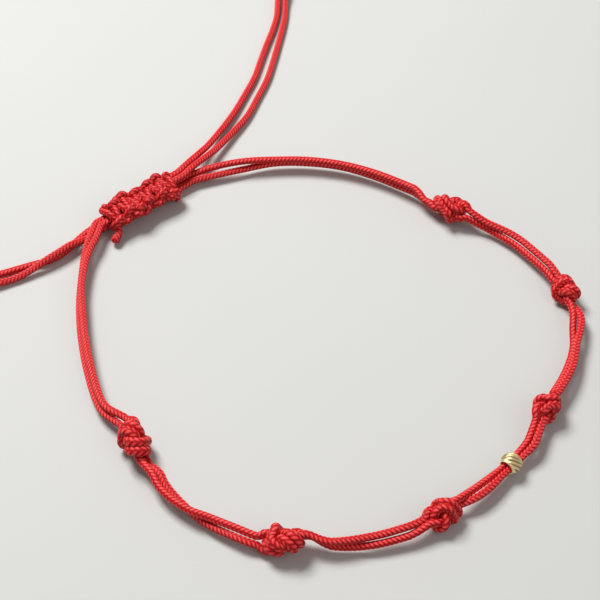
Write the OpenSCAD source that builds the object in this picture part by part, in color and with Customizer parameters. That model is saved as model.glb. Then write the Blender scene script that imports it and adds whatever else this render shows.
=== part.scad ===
// Red string bracelet: two braided strands run side by side round a whole loop, tied in six
// overhand knots, with one gold bead between two of them. A sliding knot of square knots closes
// the loop, and the four strand ends leave it as two tails, each tied off in an end knot.
// The loop lies on the ground at z = 0. +X is to the right and +Y is away from the bead's side.
// The origin is the middle of the loop's box at the ground, with the tails left out.

/* [Cord] */
// Diameter of one braided strand
cord_d = 0.9; // [0.8:0.05:1]
// Space left between two strands, and between a strand and a knot
piece_gap = 0.05; // [0.02:0.01:0.1]

/* [Loop] */
// Width of the loop's route from left to right
loop_w = 59.8; // [58:0.2:64]

/* [Overhand knots] */
// Length of a tight knot along the cord
knot_len = 4.2; // [3.8:0.1:4.6]
// Width of a tight knot across the cord
knot_w = 3.9; // [3.4:0.1:4.4]
// Thickness of a tight knot
knot_h = 3.7; // [3.2:0.1:3.8]

/* [Sliding knot] */
// Length of the sliding knot
slider_len = 11.6; // [10.5:0.1:13]
// Width of the sliding knot over its side loops
slider_w = 4.3; // [3.8:0.1:5]
// Thickness of the sliding knot
slider_h = 3.1; // [2.8:0.1:3.2]
// Number of square knots in it
square_knots = 6; // [5:1:7]

/* [Bead] */
// Diameter of the bead
bead_d = 2.5; // [2.3:0.05:2.8]
// Diameter of the hole through the bead
bead_hole_d = 1.56; // [1.5:0.02:1.7]
// Number of slanted grooves cut into the bead
bead_grooves = 9; // [6:1:10]

/* [Hidden] */

RED = [0.80, 0.08, 0.12];
DEEP_RED = [0.68, 0.05, 0.09];
GOLD = [0.86, 0.74, 0.45];

OUTER = 1;
INNER = -1;
BEFORE = -1;
AFTER = 1;

// Columns of a route: x, y, z of the pair's middle, the roll of the pair in degrees, and the
// distance between its strands. At roll 0 they lie flat side by side, and a positive roll lifts
// the outer one. Strands nearer to each other than their diameter are squeezed thinner.
X = 0;
Y = 1;
Z = 2;
ROLL = 3;
PITCH = 4;

// Columns of a knot: x and y of its middle, the heading of the cord through it, its turn about
// the cord, 1 or -1 for its hand, and its length as a multiple of a tight knot's. Its height
// follows, because it rests on the ground.
HEADING = 2;
TURN = 3;
HAND = 4;
LOOSE = 5;
KNOTS = [
    [15.9, 20.0, -36, 330, -1, 1.3],
    [29.4, 5.9, -69, 60, -1, 1.0],
    [25.1, -11.6, -120, 265, -1, 1.0],
    [12.4, -25.6, -145, 300, -1, 1.0],
    [-4.9, -28.9, 180, 210, 1, 1.25],
    [-21.6, -16.2, 128, 75, -1, 1.4]
];
END_KNOT_LEFT = [-45.6, 6.6, 200, 20, 1, 1.0];
END_KNOT_TOP = [-5.5, 68.6, 88, -30, -1, 1.0];
SLIDER_MIDDLE = [-23.3, 21.0, 1.6];
slider_heading = 38;
BEAD_MIDDLE = [20.4, -18.8, 1.4];
bead_heading = -135;

// Routes between the pieces that hold them, clockwise from the sliding knot
SPANS = [
    [
        [-17.2, 26.0, 1.1, 10, 0.95],
        [-14.9, 26.8, 1.3, 32, 1.1],
        [-11.0, 27.8, 1.5, 60, 1.1],
        [-6.5, 28.6, 1.5, 105, 0.95],
        [-2.0, 28.6, 1.5, 109, 0.95],
        [2.5, 27.8, 1.5, 109, 0.95],
        [6.8, 26.1, 1.5, 100, 0.95],
        [10.9, 23.7, 1.6, 97, 0.95]
    ],
    [
        [20.9, 16.9, 1.5, 80, 0.95],
        [23.8, 14.8, 1.4, 45, 0.95],
        [26.0, 12.1, 1.5, 40, 0.95]
    ],
    [
        [30.1, 1.2, 1.6, 10, 1.0],
        [29.5, -2.0, 1.4, 68, 0.95],
        [28.4, -5.6, 1.5, 50, 0.95]
    ],
    [
        [22.9, -16.1, 1.6, 18, 0.95],
        [21.4, -17.8, 1.4, 8, 0.75],
        [20.4, -18.8, 1.4, 8, 0.75],
        [19.4, -19.8, 1.4, 8, 0.75],
        [17.2, -22.0, 1.6, -5, 0.95]
    ],
    [
        [8.2, -27.8, 1.6, -38, 1.0],
        [5.2, -28.6, 1.4, -40, 0.95],
        [1.8, -29.1, 1.4, -75, 0.95],
        [-1.0, -29.1, 1.6, -105, 0.95]
    ],
    [
        [-9.2, -28.2, 1.6, -30, 0.95],
        [-12.7, -26.4, 1.4, -60, 0.95],
        [-15.3, -24.8, 1.4, -115, 0.95],
        [-18.2, -21.9, 1.6, -155, 0.95]
    ],
    [
        [-25.9, -10.9, 1.6, -62, 0.95],
        [-27.7, -5.8, 1.4, -56, 0.95],
        [-28.9, -0.8, 1.4, -56, 0.95],
        [-29.6, 3.7, 1.4, -62, 0.95],
        [-29.9, 7.3, 1.4, -74, 0.95],
        [-29.8, 11.4, 1.4, -60, 0.95],
        [-29.6, 13.0, 1.5, -40, 0.95],
        [-29.2, 14.5, 1.7, -20, 0.95],
        [-28.9, 15.8, 1.75, -15, 0.95]
    ]
];
TAIL_LEFT = [
    [-29.9, 16.4, 0.6, 5, 0.95],
    [-30.9, 15.3, 0.7, 30, 0.95],
    [-32.0, 14.0, 1.0, 70, 0.95],
    [-33.1, 12.9, 1.0, 78, 0.95],
    [-34.5, 11.9, 0.9, 65, 0.95],
    [-36.2, 11.0, 0.7, 25, 1.05],
    [-38.0, 10.0, 0.6, 2, 1.3],
    [-39.8, 9.2, 0.6, 0, 1.4],
    [-42.0, 8.2, 1.1, 0, 1.15]
];
TAIL_TOP = [
    [-17.5, 27.2, 2.2, 0, 0.95],
    [-15.8, 29.8, 1.7, 0, 1.15],
    [-14.8, 31.6, 1.2, 0, 1.3],
    [-13.0, 35.0, 0.8, 0, 1.6],
    [-11.2, 38.6, 0.6, 0, 1.9],
    [-9.8, 42.4, 0.5, 0, 1.85],
    [-8.6, 45.9, 0.5, 0, 1.8],
    [-7.8, 49.5, 0.5, 0, 1.75],
    [-7.1, 52.9, 0.5, 0, 1.6],
    [-6.4, 56.2, 0.5, 0, 1.35],
    [-5.9, 59.3, 0.5, 0, 1.2],
    [-5.8, 62.4, 0.9, 0, 1.1]
];

tube_sides = 8;
ring_step = 2.5;
cord_r = cord_d / 2;
loop_scale = loop_w / 59.8;
// Moves the tables so that the loop's box is centred on the origin
loop_shift = [-0.36, 0.8, 0];
// Straight stretch of a strand where it leaves a knot
lead_len = 0.6;
// Places of the loop's and the tail's pair in the first and in the last face of the sliding knot,
// to the left of the face's middle and above it
core_places = [
    [[0.25, 0.15], [0.6, -0.95]],
    [[0.2, -0.55], [0.8, 0.55]]
];

// Rows of a table with the loop's width and the shift put in
function stretched(row) = [
    for (i = [0:len(row) - 1]) i < Z ? row[i] * loop_scale + loop_shift[i] : row[i]
];
function all_stretched(rows) = [for (row = rows) stretched(row)];
function spot(row) = [row[X], row[Y], row[Z]];
function apart(p, q) = norm(spot(q) - spot(p));
function unit(v) = v / norm(v);
function ahead(heading) = [cos(heading), sin(heading), 0];
function left(heading) = [-sin(heading), cos(heading), 0];

// Place where a pair meets a knot, before or after it
function knot_middle(knot) = [knot[X], knot[Y], knot_rest(knot)];
function knot_face(knot, way) =
    knot_middle(knot) + way * (knot_len * knot[LOOSE] / 2 + piece_gap) * ahead(knot[HEADING]);
// Place where a pair meets the sliding knot, the tails' pairs being the outer ones
function slider_face(way, side) =
    let (place = core_places[way == BEFORE ? 0 : 1][side == INNER ? 0 : 1])
    stretched(SLIDER_MIDDLE) + way * (slider_len / 2 + 2 * piece_gap) * ahead(slider_heading)
    + place[0] * left(slider_heading) + [0, 0, place[1]];
// Rows at a face: a hidden one inside the piece, which only sets the direction there, the face
// and the end of the straight lead
function from_piece(face, heading, way, like) = [
    for (reach = [-lead_len, 0, lead_len])
        concat(face + way * reach * ahead(heading), [like[ROLL], like[PITCH]])
];
function to_piece(face, heading, way, like) = [
    for (reach = [lead_len, 0, -lead_len])
        concat(face + way * reach * ahead(heading), [like[ROLL], like[PITCH]])
];
function after_knot(knot, rows) = from_piece(knot_face(knot, AFTER), knot[HEADING], AFTER, rows[0]);
function before_knot(knot, rows) =
    to_piece(knot_face(knot, BEFORE), knot[HEADING], BEFORE, rows[len(rows) - 1]);
function after_slider(side, rows) =
    from_piece(slider_face(AFTER, side), slider_heading, AFTER, rows[0]);
function before_slider(side, rows) =
    to_piece(slider_face(BEFORE, side), slider_heading, BEFORE, rows[len(rows) - 1]);

// Smooth curve through the rows of a route, its speed fitted to the distances between them
function slope(rows, i) =
    (rows[i + 1] - rows[i - 1]) / (apart(rows[i - 1], rows[i]) + apart(rows[i], rows[i + 1]));
function curve_row(rows, i, t) =
    let (reach = apart(rows[i], rows[i + 1]), t2 = t * t, t3 = t2 * t)
    (2 * t3 - 3 * t2 + 1) * rows[i] + (t3 - 2 * t2 + t) * reach * slope(rows, i)
    + (3 * t2 - 2 * t3) * rows[i + 1] + (t3 - t2) * reach * slope(rows, i + 1);
function smooth(rows) = concat(
    [
        for (i = [1:len(rows) - 3])
            let (steps = ceil(apart(rows[i], rows[i + 1]) / ring_step))
            for (k = [0:steps - 1]) curve_row(rows, i, k / steps)
    ],
    [rows[len(rows) - 2]]
);

function forward(path, i) = unit(spot(path[min(i + 1, len(path) - 1)]) - spot(path[max(i - 1, 0)]));
function sideways(v) = unit(cross([0, 0, 1], v));

// Middle line of one strand of a pair, with its diameter in the fourth column
function strand(rows, side) = [
    for (i = [0:len(rows) - 1])
        let (
            v = forward(rows, i),
            out = sideways(v),
            up = cross(v, out),
            roll = rows[i][ROLL],
            shift = side * rows[i][PITCH] / 2
        )
        concat(
            spot(rows[i]) + shift * (cos(roll) * out + sin(roll) * up),
            [min(cord_d, rows[i][PITCH] - piece_gap)]
        )
];

module tube(path) {
    last = len(path) - 1;
    points = [
        for (i = [0:last])
            let (v = forward(path, i), out = sideways(v), up = cross(v, out))
            for (k = [0:tube_sides - 1])
                let (turn = 360 * (k + 0.5) / tube_sides)
                spot(path[i]) + path[i][3] / 2 * (cos(turn) * out + sin(turn) * up)
    ];
    walls = [
        for (i = [0:last - 1], k = [0:tube_sides - 1])
            let (next = (k + 1) % tube_sides, a = i * tube_sides, b = a + tube_sides)
            [a + k, b + k, b + next, a + next]
    ];
    start_cap = [for (k = [0:tube_sides - 1]) k];
    end_cap = [for (k = [0:tube_sides - 1]) (last + 1) * tube_sides - 1 - k];
    polyhedron(points, concat(walls, [start_cap, end_cap]));
}

// One strand between two neighbouring knots, whose numbers count from 1
module span_between_knots(number, side) {
    rows = all_stretched(SPANS[number - 1]);
    start = stretched(KNOTS[number - 2]);
    end = stretched(KNOTS[number - 1]);
    route = concat(after_knot(start, rows), rows, before_knot(end, rows));
    color(RED) tube(strand(smooth(route), side));
}

module span_1(side) {
    rows = all_stretched(SPANS[0]);
    end = stretched(KNOTS[0]);
    route = concat(after_slider(INNER, rows), rows, before_knot(end, rows));
    color(RED) tube(strand(smooth(route), side));
}

module span_7(side) {
    rows = all_stretched(SPANS[6]);
    start = stretched(KNOTS[5]);
    route = concat(after_knot(start, rows), rows, before_slider(INNER, rows));
    color(RED) tube(strand(smooth(route), side));
}

module tail_left(side) {
    rows = all_stretched(TAIL_LEFT);
    end = stretched(END_KNOT_LEFT);
    start = from_piece(slider_face(BEFORE, OUTER), slider_heading, BEFORE, rows[0]);
    route = concat(start, rows, before_knot(end, rows));
    color(RED) tube(strand(smooth(route), side));
}

module tail_top(side) {
    rows = all_stretched(TAIL_TOP);
    end = stretched(END_KNOT_TOP);
    route = concat(after_slider(OUTER, rows), rows, before_knot(end, rows));
    color(RED) tube(strand(smooth(route), side));
}

// Overhand knot
knot_steps = 11;
knot_reach = 1.88;
knot_core = [1.3, 1.15, 1.0];
// Distance of the two strands' middles from the middle of the doubled cord
twin_offset = cord_r * 0.92;
// Half the extent of the open trefoil below in x, y and z
trefoil_size = [2, 2, 9.5];
twin_room = [knot_len / 2 - 0.7, knot_w / 2 - cord_r - 0.35, knot_h / 2 - cord_r - 0.4];

// Growth of a loose knot along the cord, across it and in thickness
function growth(loose) = [loose, sqrt(loose), sqrt(loose)];
// Open trefoil: the path that a cord takes through an overhand knot
function trefoil(t) = [t * t * t - 3 * t, t * t * t * t - 4 * t * t + 2, pow(t, 5) - 10 * t];
function knot_path(i, loose) =
    let (p = trefoil(knot_reach * (2 * i / knot_steps - 1)), grow = growth(loose))
    [for (axis = [X:Z]) p[axis] * grow[axis] * twin_room[axis] / trefoil_size[axis]];
function knot_across(i, loose) =
    let (p = knot_path(i, loose), v = knot_path(i + 0.1, loose) - knot_path(i - 0.1, loose))
    unit(cross(v, p + [0, 0.1, 0.2]));

// Height of a knot's middle above the ground that its lowest strand touches
function knot_rest(knot) = cord_r + max([
    for (i = [0:knot_steps], side = [OUTER, INNER])
        let (p = knot_path(i, knot[LOOSE]) + side * twin_offset * knot_across(i, knot[LOOSE]))
        -knot[HAND] * p[Y] * sin(knot[TURN]) - p[Z] * cos(knot[TURN])
]);

module twin(middle, across) {
    for (side = [OUTER, INNER])
        translate(middle + side * twin_offset * across) sphere(r = cord_r, $fn = 7);
}

module twin_end(way, loose) {
    for (side = [OUTER, INNER])
        translate([way * (knot_len * loose / 2 - 0.05), side * twin_offset, 0])
            rotate([0, 90, 0]) cylinder(r = cord_r, h = 0.1, center = true, $fn = 8);
}

module overhand_knot(row) {
    knot = stretched(row);
    loose = knot[LOOSE];
    translate(knot_middle(knot))
        rotate([0, 0, knot[HEADING]])
        rotate([knot[TURN], 0, 0])
        mirror([0, (1 - knot[HAND]) / 2, 0]) {
            scale(growth(loose)) scale(knot_core) sphere(r = 1, $fn = 8);
            for (i = [0:knot_steps - 1])
                hull() {
                    twin(knot_path(i, loose), knot_across(i, loose));
                    twin(knot_path(i + 1, loose), knot_across(i + 1, loose));
                }
            hull() {
                twin_end(BEFORE, loose);
                twin(knot_path(0, loose), knot_across(0, loose));
            }
            hull() {
                twin_end(AFTER, loose);
                twin(knot_path(knot_steps, loose), knot_across(knot_steps, loose));
            }
        }
}

module knot(number) {
    color(DEEP_RED) overhand_knot(KNOTS[number - 1]);
}

// Sliding knot: a core with a slanted turn of cord round it for each half of a square knot
core_w = 2.6;
core_h = 2.4;
core_round = 0.5;
turn_r = 0.55;
slant = 0.3;
half_knots = 2 * square_knots;
half_knot_len = (slider_len - 2 * turn_r) / half_knots;
nub_root = [-5.1, -1.5, -0.75];
nub_tip = [-6.2, -2.8, -0.95];

module half_knot(lean) {
    side_y = slider_w / 2 - turn_r;
    face_z = slider_h / 2 - turn_r;
    hull()
        for (p = [[-1, 0], [-0.4, 1], [0.4, 1], [1, 0], [-0.4, -1], [0.4, -1]])
            translate([lean * slant * p[0], side_y * p[0], face_z * p[1]]) sphere(r = turn_r, $fn = 6);
}

module slider_knot() {
    color(DEEP_RED)
        translate(stretched(SLIDER_MIDDLE))
        rotate([0, 0, slider_heading]) {
            rotate([90, 0, 90])
                linear_extrude(slider_len, center = true)
                offset(r = core_round, $fn = 16)
                square([core_w - 2 * core_round, core_h - 2 * core_round], center = true);
            for (i = [0:half_knots - 1])
                translate([(i - (half_knots - 1) / 2) * half_knot_len, 0, 0])
                    half_knot(i % 2 == 0 ? 1 : -1);
            hull() {
                translate(nub_root) sphere(r = cord_r, $fn = 7);
                translate(nub_tip) sphere(r = cord_r * 1.15, $fn = 8);
            }
        }
}

// Bead
bead_rim_d = 1.96;
bead_rim_len = 2;
groove_r = 0.2;
groove_depth = 0.1;
groove_len = 1.6;
groove_tilt = -55;

module bead() {
    color(GOLD)
        translate(stretched(BEAD_MIDDLE))
        rotate([0, 90, bead_heading])
        difference() {
            union() {
                sphere(d = bead_d, $fn = 36);
                cylinder(d = bead_rim_d, h = bead_rim_len, center = true, $fn = 36);
            }
            cylinder(d = bead_hole_d, h = bead_d, center = true, $fn = 36);
            for (i = [0:bead_grooves - 1])
                rotate([0, 0, 360 * i / bead_grooves])
                    translate([bead_d / 2 - groove_depth + groove_r, 0, 0])
                    rotate([groove_tilt, 0, 0])
                    cylinder(r = groove_r, h = groove_len, center = true, $fn = 16);
        }
}

span_1(OUTER);  // span_1_outer
span_1(INNER);  // span_1_inner
span_between_knots(2, OUTER);  // span_2_outer
span_between_knots(2, INNER);  // span_2_inner
span_between_knots(3, OUTER);  // span_3_outer
span_between_knots(3, INNER);  // span_3_inner
span_between_knots(4, OUTER);  // span_4_outer
span_between_knots(4, INNER);  // span_4_inner
span_between_knots(5, OUTER);  // span_5_outer
span_between_knots(5, INNER);  // span_5_inner
span_between_knots(6, OUTER);  // span_6_outer
span_between_knots(6, INNER);  // span_6_inner
span_7(OUTER);  // span_7_outer
span_7(INNER);  // span_7_inner
knot(1);  // knot_1
knot(2);  // knot_2
knot(3);  // knot_3
knot(4);  // knot_4
knot(5);  // knot_5
knot(6);  // knot_6
slider_knot();
bead();
tail_left(OUTER);  // tail_left_outer
tail_left(INNER);  // tail_left_inner
tail_top(OUTER);  // tail_top_outer
tail_top(INNER);  // tail_top_inner
color(DEEP_RED) overhand_knot(END_KNOT_LEFT);  // end_knot_left
color(DEEP_RED) overhand_knot(END_KNOT_TOP);  // end_knot_top
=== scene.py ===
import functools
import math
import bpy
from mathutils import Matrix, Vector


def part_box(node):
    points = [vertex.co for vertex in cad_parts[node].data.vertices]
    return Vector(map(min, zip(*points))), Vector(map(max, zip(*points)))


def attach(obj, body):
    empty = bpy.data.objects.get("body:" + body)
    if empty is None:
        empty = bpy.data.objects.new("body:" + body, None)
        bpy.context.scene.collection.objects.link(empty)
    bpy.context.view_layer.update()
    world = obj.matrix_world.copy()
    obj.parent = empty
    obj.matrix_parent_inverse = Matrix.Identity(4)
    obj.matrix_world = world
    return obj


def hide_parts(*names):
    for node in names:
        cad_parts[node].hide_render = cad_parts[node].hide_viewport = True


bl_info = {
    "name": "Red String Bracelet",
    "version": (1, 0, 0),
    "blender": (4, 5, 0),
    "location": "3D View > Sidebar > Bracelet",
    "description": "Doubled red string with six knots, a gold bead, a sliding knot and two tails",
    "category": "Add Mesh",
}

import bmesh
import bpy
import numpy as np
from bpy.props import FloatProperty, FloatVectorProperty, IntProperty, PointerProperty
from mathutils import Matrix, Vector

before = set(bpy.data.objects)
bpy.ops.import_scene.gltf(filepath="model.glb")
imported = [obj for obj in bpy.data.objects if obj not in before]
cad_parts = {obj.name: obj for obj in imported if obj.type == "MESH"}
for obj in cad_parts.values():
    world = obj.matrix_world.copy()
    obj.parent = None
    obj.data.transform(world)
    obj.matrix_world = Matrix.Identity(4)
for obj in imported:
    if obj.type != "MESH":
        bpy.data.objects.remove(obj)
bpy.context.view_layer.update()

# All routes and sizes below are worked out in millimetres, and every mesh is made in metres.
MM = 0.001
OUTER, INNER = 1, -1
BEFORE, AFTER = -1, 1

# Columns of a route: x, y, z of the pair's middle, the roll of the pair in degrees, and the
# distance between its strands. At roll 0 they lie flat side by side, and a positive roll lifts
# the outer one.
X, Y, Z, ROLL, PITCH = range(5)

# Columns of a knot: x and y of its middle, the heading of the cord through it, its turn about
# the cord, 1 or -1 for its hand, and its length as a multiple of a tight knot's.
HEADING, TURN, HAND, LOOSE = 2, 3, 4, 5
KNOTS = [
    [15.9, 20.0, -36, 330, -1, 1.3],
    [29.4, 5.9, -69, 60, -1, 1.0],
    [25.1, -11.6, -120, 265, -1, 1.0],
    [12.4, -25.6, -145, 300, -1, 1.0],
    [-4.9, -28.9, 180, 210, 1, 1.25],
    [-21.6, -16.2, 128, 75, -1, 1.4],
]
END_KNOT_LEFT = [-45.6, 6.6, 200, 20, 1, 1.0]
END_KNOT_TOP = [-5.5, 68.6, 88, -30, -1, 1.0]
SLIDER_MIDDLE = [-23.3, 21.0, 1.6]
SLIDER_HEADING = 38
BEAD_MIDDLE = [20.4, -18.8, 1.4]
BEAD_HEADING = -135

# Routes between the pieces that hold them, clockwise from the sliding knot
SPANS = [
    [
        [-17.2, 26.0, 1.1, 10, 0.95],
        [-14.9, 26.8, 1.3, 32, 1.1],
        [-11.0, 27.8, 1.5, 60, 1.1],
        [-6.5, 28.6, 1.5, 105, 0.95],
        [-2.0, 28.6, 1.5, 109, 0.95],
        [2.5, 27.8, 1.5, 109, 0.95],
        [6.8, 26.1, 1.5, 100, 0.95],
        [10.9, 23.7, 1.6, 97, 0.95],
    ],
    [
        [20.9, 16.9, 1.5, 80, 0.95],
        [23.8, 14.8, 1.4, 45, 0.95],
        [26.0, 12.1, 1.5, 40, 0.95],
    ],
    [
        [30.1, 1.2, 1.6, 10, 1.0],
        [29.5, -2.0, 1.4, 68, 0.95],
        [28.4, -5.6, 1.5, 50, 0.95],
    ],
    [
        [22.9, -16.1, 1.6, 18, 0.95],
        [21.4, -17.8, 1.4, 8, 0.75],
        [20.4, -18.8, 1.4, 8, 0.75],
        [19.4, -19.8, 1.4, 8, 0.75],
        [17.2, -22.0, 1.6, -5, 0.95],
    ],
    [
        [8.2, -27.8, 1.6, -38, 1.0],
        [5.2, -28.6, 1.4, -40, 0.95],
        [1.8, -29.1, 1.4, -75, 0.95],
        [-1.0, -29.1, 1.6, -105, 0.95],
    ],
    [
        [-9.2, -28.2, 1.6, -30, 0.95],
        [-12.7, -26.4, 1.4, -60, 0.95],
        [-15.3, -24.8, 1.4, -115, 0.95],
        [-18.2, -21.9, 1.6, -155, 0.95],
    ],
    [
        [-25.9, -10.9, 1.6, -62, 0.95],
        [-27.7, -5.8, 1.4, -56, 0.95],
        [-28.9, -0.8, 1.4, -56, 0.95],
        [-29.6, 3.7, 1.4, -62, 0.95],
        [-29.9, 7.3, 1.4, -74, 0.95],
        [-29.8, 11.4, 1.4, -60, 0.95],
        [-29.6, 13.0, 1.5, -40, 0.95],
        [-29.2, 14.5, 1.7, -20, 0.95],
        [-28.9, 15.8, 1.75, -15, 0.95],
    ],
]
TAIL_LEFT = [
    [-29.9, 16.4, 0.6, 5, 0.95],
    [-30.9, 15.3, 0.7, 30, 0.95],
    [-32.0, 14.0, 1.0, 70, 0.95],
    [-33.1, 12.9, 1.0, 78, 0.95],
    [-34.5, 11.9, 0.9, 65, 0.95],
    [-36.2, 11.0, 0.7, 25, 1.05],
    [-38.0, 10.0, 0.6, 2, 1.3],
    [-39.8, 9.2, 0.6, 0, 1.4],
    [-42.0, 8.2, 1.1, 0, 1.15],
]
TAIL_TOP = [
    [-17.5, 27.2, 2.2, 0, 0.95],
    [-15.8, 29.8, 1.7, 0, 1.15],
    [-14.8, 31.6, 1.2, 0, 1.3],
    [-13.0, 35.0, 0.8, 0, 1.6],
    [-11.2, 38.6, 0.6, 0, 1.9],
    [-9.8, 42.4, 0.5, 0, 1.85],
    [-8.6, 45.9, 0.5, 0, 1.8],
    [-7.8, 49.5, 0.5, 0, 1.75],
    [-7.1, 52.9, 0.5, 0, 1.6],
    [-6.4, 56.2, 0.5, 0, 1.35],
    [-5.9, 59.3, 0.5, 0, 1.2],
    [-5.8, 62.4, 0.9, 0, 1.1],
]
# Moves the tables so that the loop's box is centred on the origin
LOOP_SHIFT = (-0.36, 0.8)
# Length of a tight knot
KNOT_LEN = 4.2
SLIDER_LEN = 11.6
PIECE_GAP = 0.05
# Straight stretch of a strand where it leaves a knot
LEAD_LEN = 0.6
# Place of each pair in the end faces of the sliding knot, to the left of the middle and above it
CORE_PLACES = {
    (BEFORE, INNER): (0.25, 0.15), (BEFORE, OUTER): (0.6, -0.95),
    (AFTER, INNER): (0.2, -0.55), (AFTER, OUTER): (0.8, 0.55),
}

SIDES = (OUTER, INNER)
SIDE_WORD = {OUTER: "outer", INNER: "inner"}
UP = np.array([0.0, 0.0, 1.0])
LOOP_KNOTS = [f"knot_{k}" for k in range(1, len(KNOTS) + 1)]
KNOT_ROWS = {
    "end_knot_left": END_KNOT_LEFT,
    **dict(zip(LOOP_KNOTS, KNOTS)),
    "end_knot_top": END_KNOT_TOP,
}
# Distance between the points of a route's curve
CURVE_STEP = 0.1

# Drawing cords tight: steps between two counts of the points near each other, and how much
# further than touching a count looks
RESPACE_EVERY = 4
NEAR_REACH = 0.4
# Radii along its own cord within which a point meets nothing
OWN_REACH = 2.4
# Share of the pushes on a point by which its move is divided
PUSH_SHARE = 0.6

# The loose overhand knot, an open trefoil: its stretch along x, y and z, how far its curve runs,
# how high it lies and its points
LOOSE_SIZE = (1.4, 1.2, 0.75)
LOOSE_REACH = 2.0
LOOSE_RISE = 2.2
LOOSE_CURVE = 400
# Half the length with its straight ends, its points then, and the distance from its middle to
# each strand as a multiple of the string's radius
LOOSE_HALF = 8.0
LOOSE_POINTS = 130
LOOSE_APART = 1.02
# Steps that draw it tight, and their pull
DRAW_STEPS = 1000
DRAW_TENSION = 0.48

# Length of the tight knot's body on each side that is tied into the string, length of the span
# beside it that is laid anew, and the distance between points
TIE_BODY = 3.0
TIE_TRIM = 1.5
TIE_STEP = 0.2
# Points that keep their place at each end, and points there that are smoothed at last
TIE_HELD = 5
TIE_EASED = 13
EASE_TIMES = 40
# Steps that tighten a tight knot and a loose one between drops to the floor, and their pull
TIE_ROUNDS = 110
LOOSE_TIE_ROUNDS = 40
TIE_DROPS = 3
TIE_TENSION = 0.3
TIE_CLING = 0.1
# Gentle steps that clear the last overlaps, their pull, and the times that each pushes
LAST_ROUNDS = 24
LAST_TENSION = 0.03
LAST_PASSES = 10
# Distance at which strings touch in a knot, as a share of their thickness
TIE_PRESS = 0.91
# Growth of the soft string in a tight knot, and the stretch over which it grows
KNOT_SWELL = 1.06
KNOT_EASE = 0.8
# How far a knot's piece of string goes past the knot, and past an end knot, where it is trimmed
KNOT_OVERLAP = 0.3
STUB_LEN = 1.0
# Distance at which two points are one, along a string in millimetres and in a mesh in metres
SAME_POINT = 0.02
MERGE_DISTANCE = 1e-8

# Rows of one half knot: place along the slider in half knots, then across and up. The first
# cord stays in front of the core, and the second behind it.
FRONT_CORD = [[-0.5, -2.3, 0.0], [-0.28, -1.5, 0.7], [0.0, 0.0, 1.22], [0.28, 1.5, 0.7]]
BACK_CORD = [
    [-0.5, 1.75, 1.6],
    [0.1, 1.8, 1.6],
    [0.29, 1.65, 1.5],
    [0.4, 1.4, 0.9],
    [0.42, 1.25, -0.1],
    [0.3, 0.9, -1.0],
    [0.0, 0.0, -1.3],
    [-0.3, -0.9, -1.0],
    [-0.42, -1.25, -0.1],
    [-0.4, -1.4, 0.9],
    [-0.29, -1.65, 1.5],
    [-0.1, -1.8, 1.6],
]
HALF_KNOTS = 12
# Radii of the string and of the core that it is tied round
SLIDER_CORD_R = 0.32
SLIDER_CORE_R = 0.76
# Length of a half knot before and after it is drawn tight, and the distance between points
LOOSE_HALF_KNOT = 4.0
TIGHT_HALF_KNOT = 0.95
SLIDER_STEP = 0.22
# Rounds that draw it tight and that let it settle, the rounds after which its points are spaced
# anew, and the steps of one and their pull
SLIDER_ROUNDS = 80
SETTLE_ROUNDS = 60
SPACING_ROUNDS = 10
ROUND_STEPS = 4
SLIDER_TENSION = 0.4
# Length and radius that the soft string is drawn with, pressed into its neighbours
SLIDER_DRAWN_LEN = 11.1
SLIDER_DRAWN_R = 0.46
# The melted end: its place from the slider's middle, its radius, and the points to its neck
SLIDER_NUB = (-6.35, -2.75, -0.9)
SLIDER_NUB_R = 0.68
SLIDER_NUB_POINTS = 7
# Narrowing of the four strands in the middle of the slider, and their points
CORE_SQUEEZE = 0.35
CORE_POINTS = 120

# UV map of a string: turns round it, and millimetres along it
BRAID_MAP = "Braid"
# Times that a whole string's points are smoothed, and the depth of its round tips as a share
STRING_SMOOTHING = 8
TIP_DEPTH = 0.97
# Height of the braid at the side of a column and between two stitches, 1 being a crown's, and
# the power that rounds each off
COLUMN_LOW, COLUMN_ROUND = 0.35, 0.7
STITCH_LOW, STITCH_ROUND = 0.25, 1.3
# Material of the string by slot, and the share of painted shade mixed into its colour, more where
# it is packed tight in a knot
STRING_FINISHES = {
    "red_braid": ("Red braid", 0.0),
    "red_knot": ("Red knot", 0.12),
    "red_macrame": ("Red macrame", 0.2),
}

# Filaments to a stitch
FILAMENTS = 5
# Sockets of a Mix node that mixes colours
MIX_A, MIX_B, MIX_RESULT = 6, 7, 2

# Width of the bead's lip in metres, the bevel of its hole across and along as shares of it, and
# faces round the bead and along its outside
BEAD_LIP = 0.00012
HOLE_BEVEL = (0.3, 0.7)
BEAD_STEPS = 144
BEAD_RINGS = 28
# Turns round the bead that a cut makes in one radius along it, the share of the bead's half
# length at which the cuts end, and the power with which they fade
BEAD_SLANT = -0.26
CUT_REACH = 0.86
CUT_FADE = 4
# Vertex attribute that paints a reflection, darker than the gold, on one flank of each cut, its
# place across the cut, half its width and the power that rounds it off
CUT_SHADE = "Cut shade"
CUT_SHADE_AT = 0.7
CUT_SHADE_HALF = 0.28
CUT_SHADE_ROUND = 0.6
# Red, green and blue of worn gold and of the reflection, darker than the gold, painted on a cut's
# flank, as shares of the gold's own
GOLD_WORN = (0.9, 0.82, 0.7)
GOLD_PAINTED_REFLECTION = (0.2, 0.13, 0.07)

# What the camera looks at, on the floor
CAMERA_TARGET = (-3.46, 6.9, 0.0)
# Half the floor's width in metres, and the brightness of its clouds as a share of its own
FLOOR_SIZE = 2.0
FLOOR_CLOUD = 0.97
# Name, place and width of each square lamp in metres, and the setting with its power
LAMPS = [
    ("Key", (-0.18, 0.22, 0.42), 0.2, "key_power"),
    ("Fill", (0.35, -0.25, 0.4), 0.4, "fill_power"),
]


# Sizes and colours


def length_setting(name, description, default, low, high):
    return FloatProperty(
        name=name, description=description, default=default, min=low, max=high, precision=6,
        unit="LENGTH",
    )


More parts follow.
